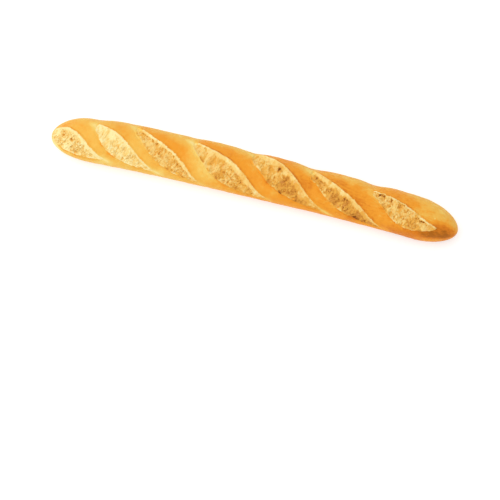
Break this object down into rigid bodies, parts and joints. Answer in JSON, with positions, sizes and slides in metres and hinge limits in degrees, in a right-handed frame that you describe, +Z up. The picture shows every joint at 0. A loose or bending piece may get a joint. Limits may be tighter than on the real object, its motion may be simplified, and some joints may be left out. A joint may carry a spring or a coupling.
{
  "type": "baguette",
  "caption": "Long thin baguette with rounded ends, a flat base and slanted scores that opened over torn crumb.",
  "frame": {"origin": "on the base, below the middle of the loaf's bounding box", "axes": "+X along the loaf, towards its smooth rounded end; +Z up out of the flat base; the scores run from the back (+Y) towards the front (-Y) as x grows"},
  "size_m": [0.57, 0.0688, 0.0498],
  "materials": {
    "crust": "dry, lightly satin golden crust; the torn crumb in the scores is paler and matte"
  },
  "bodies": {
    "root": {"baguette": "crust"}
  },
  "joints": []
}
